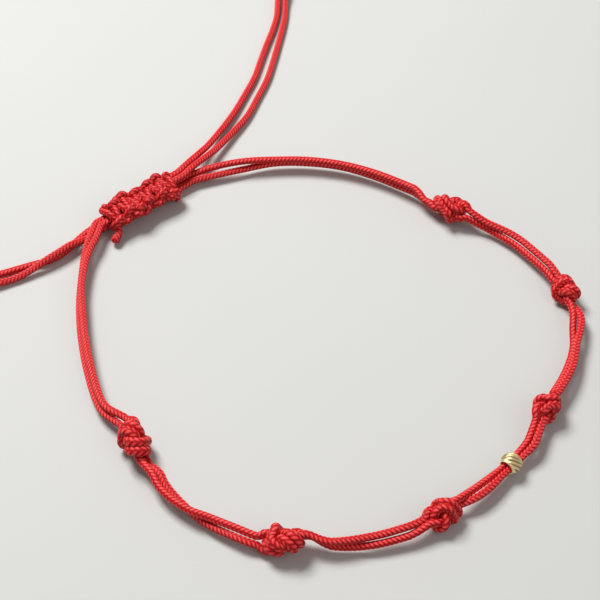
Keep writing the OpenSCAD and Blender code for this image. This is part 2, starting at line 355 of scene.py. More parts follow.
def colour_setting(name, description, default):
    return FloatVectorProperty(
        name=name, description=description, default=default, size=3, min=0.0, max=1.0,
        subtype="COLOR",
    )


class StringSizes(bpy.types.PropertyGroup):
    diameter: length_setting(
        "String diameter", "Thickness of one red string", 0.0009, 0.0005, 0.002,
    )
    stitch: length_setting(
        "Stitch", "Length of one stitch of the braid along the string", 0.0005, 0.0003, 0.002,
    )
    columns: IntProperty(
        name="Columns", description="Columns of stitches round the string, an even number",
        default=4, min=2, max=12, step=2,
    )
    lean: FloatProperty(
        name="Lean", description="Stitches that a stitch goes along while it crosses its column",
        default=0.9, min=0.0, max=3.0,
    )
    relief: length_setting(
        "Braid relief", "Depth of the grooves between the yarns", 0.00005, 0.0, 0.0002,
    )
    sides: IntProperty(
        name="Sides", description="Faces round the string", default=28, min=8, max=48,
    )
    rings_per_mm: IntProperty(
        name="Rings per millimetre", description="Faces along a millimetre of the string",
        default=12, min=2, max=20,
    )


class BeadSizes(bpy.types.PropertyGroup):
    diameter: length_setting(
        "Bead diameter", "Outer diameter of the gold bead", 0.0025, 0.001, 0.006,
    )
    hole: length_setting(
        "Bead hole", "Diameter of the hole for the doubled string", 0.00156, 0.0005, 0.003,
    )
    facets: IntProperty(
        name="Cuts", description="Slanted cuts round the bead", default=9, min=4, max=16,
    )
    cut_depth: length_setting(
        "Cut depth", "Depth of a cut at its middle", 0.00018, 0.0, 0.0003,
    )


class BraceletColours(bpy.types.PropertyGroup):
    yarn: colour_setting("Yarn", "Red of the yarns where they lie on top", (0.60, 0.007, 0.009))
    # Painted shade between the yarns, where less light reaches
    painted_groove_shade: colour_setting("Painted groove shade", "Deep red between the yarns", (0.20, 0.0, 0.001))
    # Painted pinkish highlight on the yarns' crowns
    painted_crown_highlight: colour_setting("Painted crown highlight", "Pinkish red of a yarn's crown", (1.0, 0.10, 0.10))
    gold: colour_setting("Gold", "Pale yellow gold of the bead", (0.98, 0.83, 0.50))
    floor: colour_setting("Floor", "Plain pale floor", (0.52, 0.52, 0.50))


class StudioSettings(bpy.types.PropertyGroup):
    elevation: FloatProperty(
        name="Camera elevation", description="Angle of the camera above the floor",
        default=math.radians(50), min=0.1, max=1.57, subtype="ANGLE",
    )
    distance: length_setting(
        "Camera distance", "Distance from the camera to what it looks at", 0.184, 0.05, 1.0,
    )
    lens: FloatProperty(
        name="Lens", description="Focal length of the camera in millimetres", default=90.0,
        min=20.0, max=200.0,
    )
    key_power: FloatProperty(
        name="Key lamp", description="Power of the main lamp", default=3.4, min=0.0, unit="POWER",
    )
    fill_power: FloatProperty(
        name="Fill lamp", description="Power of the lamp that lifts the shadows", default=0.6,
        min=0.0, unit="POWER",
    )
    ambient: FloatProperty(
        name="Ambient light", description="Strength of the white light from all round",
        default=0.26, min=0.0,
    )


# Routes of the string


def unit(v):
    return v / np.linalg.norm(v, axis=-1, keepdims=True)


def ahead(heading):
    return np.array([math.cos(math.radians(heading)), math.sin(math.radians(heading)), 0.0])


def left(heading):
    return np.array([-math.sin(math.radians(heading)), math.cos(math.radians(heading)), 0.0])


def axes_along(heading):
    """Rows that point ahead, to the left and up."""
    return np.stack([ahead(heading), left(heading), UP])


def shifted(rows):
    """A table's row or rows with the loop's shift put in."""
    moved = np.array(rows, float)
    moved[..., :2] += LOOP_SHIFT
    return moved


def steps_of(path):
    """Distance from each point of a path to the next."""
    return np.linalg.norm(np.diff(path[:, :3], axis=0), axis=1)


def reach_of(path):
    """Distance along a path to each of its points."""
    return np.concatenate([[0.0], np.cumsum(steps_of(path))])


def end_face(piece, way, pair=INNER):
    """Middle and heading of an end face. The sliding knot has the loop's pair on its INNER
    places and a tail's on its OUTER ones. A knot lies at the height that its solid has."""
    if piece == "slider_knot":
        across, up = CORE_PLACES[way, pair]
        reach = way * (SLIDER_LEN / 2 + 2 * PIECE_GAP)
        face = shifted(SLIDER_MIDDLE) + reach * ahead(SLIDER_HEADING)
        return face + across * left(SLIDER_HEADING) + up * UP, SLIDER_HEADING
    row = KNOT_ROWS[piece]
    low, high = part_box(piece)
    middle = np.array([*shifted(row)[:2], (low.z + high.z) / 2 / MM])
    reach = way * (KNOT_LEN * row[LOOSE] / 2 + PIECE_GAP)
    return middle + reach * ahead(row[HEADING]), row[HEADING]


def lead_rows(where, like, reaches):
    """Rows straight through an end face. One lies inside the piece and is left out later."""
    face, heading = end_face(*where)
    way = where[1]
    return [
        [*(face + way * reach * ahead(heading)), like[ROLL], like[PITCH]] for reach in reaches
    ]


def smooth_curve(rows, step):
    """Smooth curve through rows, from the second to the last but one."""
    rows = np.asarray(rows, float)
    gap = steps_of(rows)
    slope = (rows[2:] - rows[:-2]) / (gap[:-1] + gap[1:])[:, None]
    curve = []
    for i in range(1, len(rows) - 2):
        t = np.linspace(0.0, 1.0, max(2, math.ceil(gap[i] / step)), endpoint=False)[:, None]
        curve.append(
            (2 * t**3 - 3 * t**2 + 1) * rows[i] + (t**3 - 2 * t**2 + t) * gap[i] * slope[i - 1]
            + (3 * t**2 - 2 * t**3) * rows[i + 1] + (t**3 - t**2) * gap[i] * slope[i]
        )
    curve.append(rows[-2:-1])
    return np.concatenate(curve)


def pair_of_strands(rows, radius):
    """Middle lines of the outer and the inner strand, each row x, y, z and radius."""
    curve = smooth_curve(rows, CURVE_STEP)
    forward = unit(np.gradient(curve[:, :3], axis=0))
    out = unit(np.cross(UP, forward))
    up = np.cross(forward, out)
    roll = np.radians(curve[:, ROLL])[:, None]
    shift = curve[:, PITCH, None] / 2 * (np.cos(roll) * out + np.sin(roll) * up)
    thick = np.minimum(radius, curve[:, PITCH] / 2)
    return {side: np.column_stack([curve[:, :3] + side * shift, thick]) for side in SIDES}


def strands_between(table, start, end, radius):
    """Both strands through a table's rows between two faces, each a piece, its way and pair."""
    table = shifted(table)
    first = lead_rows(start, table[0], (-LEAD_LEN, 0, LEAD_LEN))
    last = lead_rows(end, table[-1], (LEAD_LEN, 0, -LEAD_LEN))
    return pair_of_strands(first + table.tolist() + last, radius)


def even(path, count):
    """The same path with points an equal distance apart, and its length."""
    reach = reach_of(path)
    places = np.linspace(0.0, reach[-1], count)
    return np.stack([np.interp(places, reach, column) for column in path.T], axis=1), reach[-1]


def even_steps(path, step):
    """The same path with points about a step apart."""
    return even(path, max(4, round(steps_of(path).sum() / step) + 1))[0]


def cut_short(path, trim):
    """A path without its first stretch."""
    return path[np.searchsorted(reach_of(path), trim) :]


def smoothed(values, times):
    """Values with small kinks ironed out, their ends kept."""
    values = values.copy()
    for _ in range(times):
        values[1:-1] = (values[:-2] + 2 * values[1:-1] + values[2:]) / 4
    return values


def carried_frames(centre, across):
    """Directions across a path, carried along it without twist."""
    forward = unit(np.gradient(centre, axis=0))
    normal = np.zeros_like(centre)
    for i, way in enumerate(forward):
        across = across - way * np.dot(across, way)
        across = across / np.linalg.norm(across)
        normal[i] = across
    return normal, np.cross(forward, normal)


# Tying the knots


def neighbours(points, cord_of, place_of, skip, reach):
    """Pairs of points near enough to touch soon, without a point's own neighbours in its cord."""
    first, second = np.triu_indices(len(points), 1)
    away = np.abs(place_of[first] - place_of[second]) > skip[cord_of[first]]
    away |= cord_of[first] != cord_of[second]
    first, second = first[away], second[away]
    gap = points[first] - points[second]
    near = np.einsum("ij,ij->i", gap, gap) < reach * reach
    return first[near], second[near]


def gaps(points, first, second):
    """The gap between the two points of each pair, and its length."""
    gap = points[first] - points[second]
    return gap, np.sqrt(np.einsum("ij,ij->i", gap, gap)) + 1e-9


def summed(first, second, push, count):
    """Sum of the pushes on every point, which act the other way on the second of each pair,
    and how many there are."""
    index = np.concatenate([first, second])
    weight = np.concatenate([push, -push])
    move = np.stack([np.bincount(index, column, count) for column in weight.T], axis=1)
    return move, np.bincount(index, minlength=count)


def pull_tight(cords, radius, steps, tension, held=1, passes=6, cling=0.0, floor=None, core=None):
    """Shortens cords between their held ends, while they push each other, the floor and a
    round core along x away, as when a knot is drawn tight. cling draws near cords together."""
    counts = [len(cord) for cord in cords]
    starts = np.concatenate([[0], np.cumsum(counts)])
    points = np.concatenate(cords)
    cord_of = np.repeat(np.arange(len(cords)), counts)
    place_of = np.concatenate([np.arange(count) for count in counts])
    free = np.zeros(len(points), bool)
    for start, count in zip(starts, counts):
        free[start + held : start + count - held] = True
    for step in range(steps):
        if step % RESPACE_EVERY == 0:
            skip = np.zeros(len(cords))
            for k, (start, count) in enumerate(zip(starts, counts)):
                part = slice(start + held - 1, start + count - held + 1)
                points[part], length = even(points[part], count - 2 * held + 2)
                skip[k] = math.ceil(OWN_REACH * radius / (length / (count - 2 * held + 1)))
            first, second = neighbours(points, cord_of, place_of, skip, 2 * radius + NEAR_REACH)
        pull = np.zeros_like(points)
        pull[1:-1] = (points[:-2] + points[2:]) / 2 - points[1:-1]
        points[free] += tension * pull[free]
        if cling:
            gap, apart = gaps(points, first, second)
            near = (apart > 2 * radius) & (cord_of[first] != cord_of[second])
            pull = ((2 * radius - apart) / apart)[near, None] * gap[near]
            move, times = summed(first[near], second[near], pull, len(points))
            go = free & (times > 0)
            points[go] += cling * move[go] / times[go, None]
        for _ in range(passes):
            gap, apart = gaps(points, first, second)
            deep = 2 * radius - apart
            hit = deep > 0
            a, b = first[hit], second[hit]
            share = np.where(free[a] & free[b], 0.5, 1.0)
            push = (share * deep[hit] / apart[hit])[:, None] * gap[hit]
            move, times = summed(a, b, push, len(points))
            go = free & (times > 0)
            points[go] += move[go] / np.maximum(1.0, PUSH_SHARE * times[go])[:, None]
            if floor is not None:
                low = free & (points[:, 2] < floor + radius)
                points[low, 2] = floor + radius
            if core is not None:
                reach = np.hypot(points[:, 1], points[:, 2])
                near = free & (reach < core + radius)
                points[near, 1:] *= ((core + radius) / reach[near])[:, None]
    return [points[start : start + count] for start, count in zip(starts, counts)]


def loose_overhand(radius):
    """A doubled cord in a loose overhand knot: two strands side by side along an open trefoil."""
    t = np.linspace(-LOOSE_REACH, LOOSE_REACH, LOOSE_CURVE)
    trefoil = np.stack([t**3 - 3 * t, t**4 - 4 * t**2 + LOOSE_RISE, t**5 - 10 * t], axis=1)
    ends = np.array([[-LOOSE_HALF, 0, 0], [LOOSE_HALF, 0, 0]])
    path, _ = even(np.concatenate([ends[:1], trefoil * LOOSE_SIZE, ends[1:]]), LOOSE_POINTS)
    side, _ = carried_frames(path, np.array([0.0, 1.0, 0.0]))
    return [path + side * radius * LOOSE_APART, path - side * radius * LOOSE_APART]


@functools.cache
def tight_overhand(radius):
    """The overhand knot drawn tight, its middle at the origin, as two strands along x."""
    cords = pull_tight(loose_overhand(radius), radius, DRAW_STEPS, DRAW_TENSION)
    both = np.concatenate(cords)
    body = both[np.linalg.norm(both[:, 1:], axis=1) > 2 * radius]
    middle = (body.min(axis=0) + body.max(axis=0)) / 2 * [1, 0, 0]
    return [cord - middle for cord in cords]


def turned(points, degrees, hand):
    """Points turned about x, after a mirror in y for hand -1."""
    cosine, sine = math.cos(math.radians(degrees)), math.sin(math.radians(degrees))
    x, y, z = points[:, 0], points[:, 1] * hand, points[:, 2]
    return np.stack([x, y * cosine - z * sine, y * sine + z * cosine], axis=1)


def roll_between(strand, other, place):
    """Direction from one strand to the other, seen along x."""
    gap = other[place] - strand[place]
    return math.atan2(gap[2], gap[1])


def knot_body(row, radius):
    """The tight knot's strands, turned and loosened as a row says, without their long ends."""
    swell = math.sqrt(row[LOOSE])
    reach = TIE_BODY + KNOT_LEN * (row[LOOSE] - 1) / 2
    body = []
    for cord in tight_overhand(radius):
        cord = turned(cord, row[TURN], row[HAND]) * [row[LOOSE], swell, swell]
        first, beyond = np.argmax(cord[:, 0] > -reach), np.argmax(cord[::-1, 0] < reach)
        body.append(cord[first : len(cord) - beyond])
    return body


def lowest_of(cords):
    return min(cord[:, 2].min() for cord in cords)


def tie_knot(name, arriving, leaving, radius):
    """The two strands through one knot. arriving and leaving hold the middle lines of the outer
    and the inner strand next to it, which keep their places. Each strand comes under the side
    that it arrives on, as its path, its places along the knot and the side that it leaves on."""
    row = KNOT_ROWS[name]
    axes = axes_along(row[HEADING])
    swell = math.sqrt(row[LOOSE])
    pressed = TIE_PRESS * radius * swell
    drawn = KNOT_SWELL * radius * swell
    body = knot_body(row, TIE_PRESS * radius)
    height = drawn - lowest_of(body)
    middle = np.array([*shifted(row)[:2], height])
    near = [(arriving[side][:, :3] - middle) @ axes.T for side in SIDES]
    far = [(leaving[side][:, :3] - middle) @ axes.T for side in SIDES]
    turn_in = roll_between(body[0], body[1], 0) - roll_between(near[0], near[1], -1)
    turn_out = roll_between(body[0], body[1], -1) - roll_between(far[0], far[1], 0)
    swap_in = math.cos(turn_in) < 0
    swap_out = math.cos(turn_out) < 0
    cords = []
    for k in (0, 1):
        start, end = near[k ^ swap_in], far[k ^ swap_out]
        middle_part = np.concatenate([start[-1:], body[k], end[:1]])
        cords.append(np.concatenate([start[:-1], even_steps(middle_part, TIE_STEP), end[1:]]))
    floor = drawn - pressed - height
    rounds = TIE_ROUNDS if row[LOOSE] == 1 else LOOSE_TIE_ROUNDS
    for _ in range(TIE_DROPS):
        cords = pull_tight(
            cords, pressed, rounds, TIE_TENSION, held=TIE_HELD, cling=TIE_CLING, floor=floor,
        )
        drop = lowest_of(cords) - floor - pressed
        for cord in cords:
            places = np.arange(len(cord))
            from_end = np.minimum(places, places[::-1]) - TIE_HELD
            cord[:, 2] -= drop * np.clip(from_end * TIE_STEP / TIE_TRIM, 0.0, 1.0)
    cords = pull_tight(
        cords, pressed, LAST_ROUNDS, LAST_TENSION, held=TIE_HELD, passes=LAST_PASSES,
        floor=floor,
    )
    tied = {}
    for k, cord in enumerate(cords):
        cord[:TIE_EASED] = smoothed(cord[:TIE_EASED], EASE_TIMES)
        cord[-TIE_EASED:] = smoothed(cord[-TIE_EASED:], EASE_TIMES)
        along = cord[:, 0]
        inside = np.clip((KNOT_LEN * row[LOOSE] / 2 - np.abs(along)) / KNOT_EASE, 0.0, 1.0)
        thick = radius * (1 + (KNOT_SWELL * swell - 1) * inside)
        path = np.column_stack([cord @ axes + middle, thick])
        tied[SIDES[k ^ swap_in]] = path, along, SIDES[k ^ swap_out]
    return tied


def half_knot_rows(table):
    """A table repeated for every half knot, mirrored from one to the next."""
    return [
        [k - (HALF_KNOTS - 1) / 2 + along, across * (1 - 2 * (k % 2)), up]
        for k in range(HALF_KNOTS)
        for along, across, up in table
    ]


@functools.cache
def tie_slider():
    """Middle line of the one string tied in square knots, in the slider's own frame. It goes
    along the front of the core, turns round it and comes back behind it."""
    last = (HALF_KNOTS - 1) / 2
    front_end = [[last + 0.75, -2.2, -0.6], [last + 0.5, -2.3, -0.1]]
    start_turn = [
        [-last - 0.8, -1.9, -0.6],
        [-last - 1.0, -0.6, -1.35],
        [-last - 1.0, 0.6, -1.35],
        [-last - 0.8, 1.8, 0.3],
    ]
    back_end = [[last + 0.05, 1.9, 1.5], [last + 0.4, 1.7, 1.3]]
    rows = front_end + half_knot_rows(FRONT_CORD)[::-1] + start_turn
    rows = np.array(rows + half_knot_rows(BACK_CORD) + back_end)
    rows[:, 0] *= LOOSE_HALF_KNOT
    rows = np.concatenate([2 * rows[:1] - rows[1:2], rows, 2 * rows[-1:] - rows[-2:-1]])
    path = even_steps(smooth_curve(rows, TIE_STEP), SLIDER_STEP)
    shrink = (TIGHT_HALF_KNOT / LOOSE_HALF_KNOT) ** (1 / SLIDER_ROUNDS)
    for k in range(SLIDER_ROUNDS + SETTLE_ROUNDS):
        if k < SLIDER_ROUNDS:
            path[:, 0] *= shrink
        if k % SPACING_ROUNDS == SPACING_ROUNDS - 1:
            path = even_steps(path, SLIDER_STEP)
        (path,) = pull_tight(
            [path], SLIDER_CORD_R, ROUND_STEPS, SLIDER_TENSION, core=SLIDER_CORE_R,
        )
    return path


# Laying the two strings from tail to tail


def core_strands(tail, loop, span, top, radius):
    """The four strands through the sliding knot, from the left tail to the loop's start and
    from the loop's end to the top tail. Keys are what leads in, and its side."""
    axes, middle = axes_along(SLIDER_HEADING), shifted(SLIDER_MIDDLE)
    runs = {}
    for key, start, end in (
        (("tail", OUTER), tail[OUTER][0], loop[INNER][0]),
        (("tail", INNER), tail[INNER][0], loop[OUTER][0]),
        (("span", OUTER), span[OUTER][-1], top[OUTER][0]),
        (("span", INNER), span[INNER][-1], top[INNER][0]),
    ):
        a, b = (start[:3] - middle) @ axes.T, (end[:3] - middle) @ axes.T
        t = np.linspace(0.0, 1.0, CORE_POINTS)[:, None]
        ease = 0.5 - 0.5 * np.cos(np.pi * t)
        squeeze = 1 - CORE_SQUEEZE * np.sin(np.pi * t) ** 2
        local = np.hstack([a[:1] + (b[:1] - a[:1]) * t, (a[1:] + (b[1:] - a[1:]) * ease) * squeeze])
        runs[key] = np.column_stack([local @ axes + middle, radius * squeeze])
    return runs


def next_to_knot(pair, at_start):
    """The held points of both strands of a span beside a knot."""
    held = {}
    for side, path in pair.items():
        outward = even_steps(cut_short(path if at_start else path[::-1], TIE_TRIM), TIE_STEP)
        held[side] = outward[: TIE_HELD + 1] if at_start else outward[TIE_HELD::-1]
    return held


def after_end_knot(name, radius):
    """Plain straight ends held beyond an end knot."""
    face, heading = end_face(name, AFTER)
    held = {}
    for side in SIDES:
        start = face + side * radius * left(heading) + TIE_TRIM * ahead(heading)
        path = start + np.arange(TIE_HELD + 1)[:, None] * TIE_STEP * ahead(heading)
        held[side] = np.column_stack([path, np.full(len(path), radius)])
    return held


def between_knots(path, start, end):
    """The part of a span that isn't tied anew, at the start and the end that are named."""
    tied_part = TIE_TRIM + (TIE_HELD + 1) * TIE_STEP
    if start:
        path = cut_short(path, tied_part)
    if end:
        path = cut_short(path[::-1], tied_part)[::-1]
    return path


def through_knot(tied, name, side, before, after=None):
    """The strand that arrives on a side, shared out to the piece before the knot, the knot and
    the piece after it, and the side that it leaves on. after is the next span without its side,
    or none where the strand is trimmed beyond the knot."""
    path, along, leaves = tied[name][side]
    half = KNOT_LEN * KNOT_ROWS[name][LOOSE] / 2
    first = np.argmax(along > -half - KNOT_OVERLAP)
    last = len(along) - np.argmax(along[::-1] < half + KNOT_OVERLAP)
    if after is None:
        last = np.argmax(along > half + STUB_LEN)
    runs = [(before, path[: first + 1]), (name, path[first : last + 1])]
    if after is not None:
        runs.append((f"{after}_{SIDE_WORD[leaves]}", path[last:]))
    return runs, leaves


@functools.cache
def lay_string(radius):
    """Both strings from tail to tail. Each is a list of (piece, path of x, y, z, radius)."""
    stops = [("slider_knot", AFTER), *[(name, AFTER) for name in LOOP_KNOTS]]
    ends = [*[(name, BEFORE) for name in LOOP_KNOTS], ("slider_knot", BEFORE)]
    spans = [
        strands_between(table, start, end, radius) for table, start, end in zip(SPANS, stops, ends)
    ]
    tails = {
        name: strands_between(table, ("slider_knot", way, OUTER), (name, BEFORE), radius)
        for name, table, way in (
            ("end_knot_left", TAIL_LEFT, BEFORE), ("end_knot_top", TAIL_TOP, AFTER),
        )
    }
    tail_left, tail_top = tails.values()
    core = core_strands(tail_left, spans[0], spans[-1], tail_top, radius)
    tied = {}
    for k, name in enumerate(LOOP_KNOTS):
        arriving, leaving = next_to_knot(spans[k], False), next_to_knot(spans[k + 1], True)
        tied[name] = tie_knot(name, arriving, leaving, radius)
    for name, tail in tails.items():
        arriving, leaving = next_to_knot(tail, False), after_end_knot(name, radius)
        tied[name] = tie_knot(name, arriving, leaving, radius)
    strings = []
    for side in SIDES:
        lead = f"tail_left_{SIDE_WORD[side]}"
        runs, _ = through_knot(tied, "end_knot_left", side, lead)
        outward = [(lead, between_knots(tail_left[side], False, True)), *runs]
        string = [(name, path[::-1]) for name, path in outward[::-1]]
        string.append((lead, core["tail", side]))
        now = -side
        for k, name in enumerate(LOOP_KNOTS):
            piece = f"span_{k + 1}_{SIDE_WORD[now]}"
            string.append((piece, between_knots(spans[k][now], k > 0, True)))
            runs, now = through_knot(tied, name, now, piece, f"span_{k + 2}")
            string += runs
        piece = f"span_{len(SPANS)}_{SIDE_WORD[now]}"
        string.append((piece, between_knots(spans[-1][now], True, False)))
        lead = f"tail_top_{SIDE_WORD[now]}"
        string.append((lead, core["span", now]))
        string.append((lead, between_knots(tail_top[now], False, True)))
        runs, _ = through_knot(tied, "end_knot_top", now, lead)
        strings.append(string + runs)
    return strings


# Meshes of braided string


def braid_crown(turns, place, sizes, floor, cosine):
    """Height of the braid's surface, 0 between the yarns to 1 on a crown, and the place along its
    stitch, from turns round the string and millimetres along it. Stitches lean left and right in
    turn. The same sum serves numbers and a material's wires, each with its floor and cosine. In a
    material the height also sets the painted shade between the yarns and the painted highlight on
    the crowns."""
    column = floor(turns * sizes.columns)
    odd = column % 2
    across = turns * sizes.columns - column - 0.5
    along = place * (MM / sizes.stitch) + odd * 0.5 + (1 - odd * 2) * across * sizes.lean
    ridge = COLUMN_LOW + abs(cosine(across * math.pi)) ** COLUMN_ROUND * (1 - COLUMN_LOW)
    stitch = STITCH_LOW + abs(cosine(along * math.pi)) ** STITCH_ROUND * (1 - STITCH_LOW)
    return ridge * stitch, along


def rounded_tip(radius, place, start, end):
    """Radius drawn in to a round tip at the ends that are named, and its share of the whole."""
    shape = np.ones_like(place)
    for use, depth in ((start, place - place[0]), (end, place[-1] - place)):
        if use:
            inside = np.clip(1 - depth / radius, 0.0, TIP_DEPTH)
            shape = np.minimum(shape, np.sqrt(1 - inside**2))
    return radius * shape, shape


def rolled_grid(points, turns, place):
    """A closed tube rolled up from a grid of faces: points has a row for each ring."""
    rings, width = points.shape[:2]
    mesh = bpy.data.meshes.new("rolled_grid")
    bm = bmesh.new()
    bm.loops.layers.uv.new(BRAID_MAP)
    bmesh.ops.create_grid(bm, x_segments=width - 1, y_segments=rings - 1, size=0.5)
    bm.to_mesh(mesh)
    corner = np.empty(len(mesh.loops), np.int32)
    mesh.loops.foreach_get("vertex_index", corner)
    uv = np.column_stack([turns[corner % width], place[corner // width]])
    mesh.uv_layers[BRAID_MAP].uv.foreach_set("vector", uv.ravel().astype(np.float32))
    mesh.vertices.foreach_set("co", (points * MM).ravel().astype(np.float32))
    bm.clear()
    bm.from_mesh(mesh)
    for face in bm.faces:
        face.smooth = True
    bmesh.ops.remove_doubles(bm, verts=bm.verts, dist=MERGE_DISTANCE)
    rims = [edge for edge in bm.edges if edge.is_boundary]
    for edge in rims:
        edge.smooth = False
    bmesh.ops.holes_fill(bm, edges=rims, sides=0)
    bmesh.ops.recalc_face_normals(bm, faces=bm.faces)
    bm.to_mesh(mesh)
    bm.free()
    return mesh


def braided_tube(run, sizes):
    """Mesh of a braided string along a run of rings."""
    thick, shape = rounded_tip(run["radius"], run["place"], *run["tips"])
    turns = np.arange(sizes.sides + 1) / sizes.sides
    angle = 2 * np.pi * turns
    crown, _ = braid_crown(turns[None, :], run["place"][:, None], sizes, np.floor, np.cos)
    reach = thick[:, None] - sizes.relief / MM * shape[:, None] * (1 - crown)
    points = run["centre"][:, None, :] + reach[..., None] * (
        np.cos(angle)[None, :, None] * run["normal"][:, None, :]
        + np.sin(angle)[None, :, None] * run["binormal"][:, None, :]
    )
    return rolled_grid(points, turns, run["place"])


def runs_of_string(string, sizes):
    """Cuts one whole string into runs of rings, a list of them for each piece, so that the braid
    goes on from piece to piece."""
    names, marks, parts = [], [], []
    for name, part in string:
        if parts and np.linalg.norm(part[0, :3] - parts[-1][-1, :3]) < SAME_POINT:
            part = part[1:]
        if not names or names[-1] != name:
            names.append(name)
            marks.append(marks[-1] if marks else 0)
        marks[-1] += len(part)
        parts.append(part)
    whole = np.concatenate(parts)
    reach = reach_of(whole)
    whole = smoothed(even_steps(whole, 1 / sizes.rings_per_mm), STRING_SMOOTHING)
    place = reach_of(whole)
    normal, binormal = carried_frames(whole[:, :3], UP)
    pieces = {}
    start = 0
    for k, (name, mark) in enumerate(zip(names, marks)):
        last = k == len(names) - 1
        end = len(whole) - 1 if last else round(reach[mark - 1] / reach[-1] * (len(whole) - 1))
        cut = slice(start, end + 1)
        pieces.setdefault(name, []).append({
            "centre": whole[cut, :3], "radius": whole[cut, 3], "place": place[cut],
            "normal": normal[cut], "binormal": binormal[cut], "tips": (k == 0, last),
        })
        start = end
    return pieces


def finished_piece(name, meshes, material, node):
    """One object from its meshes, with its finish and its body; the node that it stands for is
    hidden.
    """
    bm = bmesh.new()
    for mesh in meshes:
        bm.from_mesh(mesh)
        bpy.data.meshes.remove(mesh)
    data = bpy.data.meshes.new(name)
    bm.to_mesh(data)
    bm.free()
    data.materials.append(material)
    piece = bpy.data.objects.new(name, data)
    bpy.context.scene.collection.objects.link(piece)
    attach(piece, "root")
    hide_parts(node)
    return piece


@functools.cache
def string_runs():
    """Runs of rings for every piece that the two strings make up."""
    sizes = bpy.context.scene.string_sizes
    pieces = {}
    for string in lay_string(sizes.diameter / 2 / MM):
        for name, runs in runs_of_string(string, sizes).items():
            pieces.setdefault(name, []).extend(runs)
    return pieces


def string_piece(node, slot):
    """The braided string that stands for a node of the loop, a tail or an overhand knot."""
    meshes = [braided_tube(run, bpy.context.scene.string_sizes) for run in string_runs()[node]]
    return finished_piece(f"{node}_cord", meshes, string_finish(slot), node)


# Finishes


class Wire:
    """A socket of a material's nodes, on which sums and products add Math nodes."""

    def __init__(self, kit, socket):
        self.kit, self.socket = kit, socket

    def _math(self, operation, *values):
        return self.kit.value("ShaderNodeMath", {"operation": operation}, *values)

    def __add__(self, other):
        return self._math("ADD", self, other)

    def __sub__(self, other):
        return self._math("SUBTRACT", self, other)

    def __rsub__(self, other):
        return self._math("SUBTRACT", other, self)

    def __mul__(self, other):
        return self._math("MULTIPLY", self, other)

    def __mod__(self, other):
        return self._math("FLOORED_MODULO", self, other)

    def __pow__(self, other):
        return self._math("POWER", self, other)

    __radd__ = __add__
    __rmul__ = __mul__

    def __abs__(self):
        return self._math("ABSOLUTE", self)

    def floor(self):
        return self._math("FLOOR", self)

    def cosine(self):
        return self._math("COSINE", self)


class NodeKit:
    """Builds the nodes of one material."""

    def __init__(self, name):
        self.material = bpy.data.materials.new(name)
        self.material.use_nodes = True
        self.tree = self.material.node_tree
        self.tree.nodes.clear()
        self.space = self.value("ShaderNodeTexCoord", {}, output="Object")

    def add(self, kind, settings=(), inputs=()):
        """Adds a node: its settings first, then the values or links of its sockets."""
        node = self.tree.nodes.new(kind)
        for key, setting in dict(settings).items():
            if key == "stops":
                ramp = node.color_ramp
                while len(ramp.elements) < len(setting):
                    ramp.elements.new(0.5)
                for element, (place, colour) in zip(ramp.elements, setting):
                    element.position, element.color = place, (*colour, 1.0)
            else:
                setattr(node, key, setting)
        pairs = inputs.items() if isinstance(inputs, dict) else enumerate(inputs)
        for key, given in pairs:
            if isinstance(given, Wire):
                self.tree.links.new(given.socket, node.inputs[key])
            else:
                node.inputs[key].default_value = given
        return node

    def value(self, kind, settings, *values, output=0):
        return Wire(self, self.add(kind, settings, values).outputs[output])

    def noise(self, scale, detail):
        """Noise that is fixed to the piece. Scale is in waves to the metre."""
        return self.value("ShaderNodeTexNoise", {}, self.space, 0.0, scale, detail)

    def mix(self, share, a, b):
        """Mix of two colours, each a wire or three numbers."""
        colours = [given if isinstance(given, Wire) else (*given, 1.0) for given in (a, b)]
        node = self.add(
            "ShaderNodeMix", {"data_type": "RGBA"},
            {"Factor": share, MIX_A: colours[0], MIX_B: colours[1]},
        )
        return Wire(self, node.outputs[MIX_RESULT])

    def bump(self, strength, distance, height):
        inputs = {"Strength": strength, "Distance": distance, "Height": height}
        return Wire(self, self.add("ShaderNodeBump", {}, inputs).outputs[0])

    def finish(self, **inputs):
        """The material, from the inputs of its one shader."""
        shader = self.add(
            "ShaderNodeBsdfPrincipled", {},
            {key.replace("_", " "): given for key, given in inputs.items()},
        )
        self.add("ShaderNodeOutputMaterial", {}, [Wire(self, shader.outputs[0])])
        return self.material


@functools.cache
def string_finish(slot):
    """Satin braided yarn, with painted shade between the yarns, a painted highlight on the crowns,
    and more painted shade where it is drawn tight in a knot.
    """
    sizes, colours = bpy.context.scene.string_sizes, bpy.context.scene.bracelet_colours
    name, depth = STRING_FINISHES[slot]
    kit = NodeKit(name)
    chart = kit.value("ShaderNodeUVMap", {"uv_map": BRAID_MAP})
    apart = kit.add("ShaderNodeSeparateXYZ", {}, [chart])
    turns, place = Wire(kit, apart.outputs[0]), Wire(kit, apart.outputs[1])
    crown, along = braid_crown(turns, place, sizes, Wire.floor, Wire.cosine)
    cloud, fuzz = kit.noise(900.0, 3.0), kit.noise(14000.0, 2.0)
    filaments = (along * (2 * math.pi * FILAMENTS)).cosine()
    # Colour by the braid's height: painted shade between the yarns, the yarn's own red, and a
    # painted pinkish highlight on the crowns, with random tone from the noise
    yarn = kit.value(
        "ShaderNodeValToRGB",
        {"stops": [(0.1, colours.painted_groove_shade), (0.5, colours.yarn), (0.95, colours.painted_crown_highlight)]},
        crown * 0.9 + (cloud - 0.5) * 0.2 + (fuzz - 0.5) * 0.2,
    )
    return kit.finish(
        # Painted shade of a tight knot: the shade colour between the yarns mixed in by the finish's
        # share
        Base_Color=kit.mix(depth, yarn, colours.painted_groove_shade),
        Roughness=0.62 - crown * 0.16 + (fuzz - 0.5) * 0.1,
        Normal=kit.bump(0.5, 0.00006, crown * 0.7 + filaments * 0.06 + fuzz * 0.12),
        Sheen_Weight=0.03,
        Sheen_Roughness=0.4,
        Specular_IOR_Level=0.22,
    )


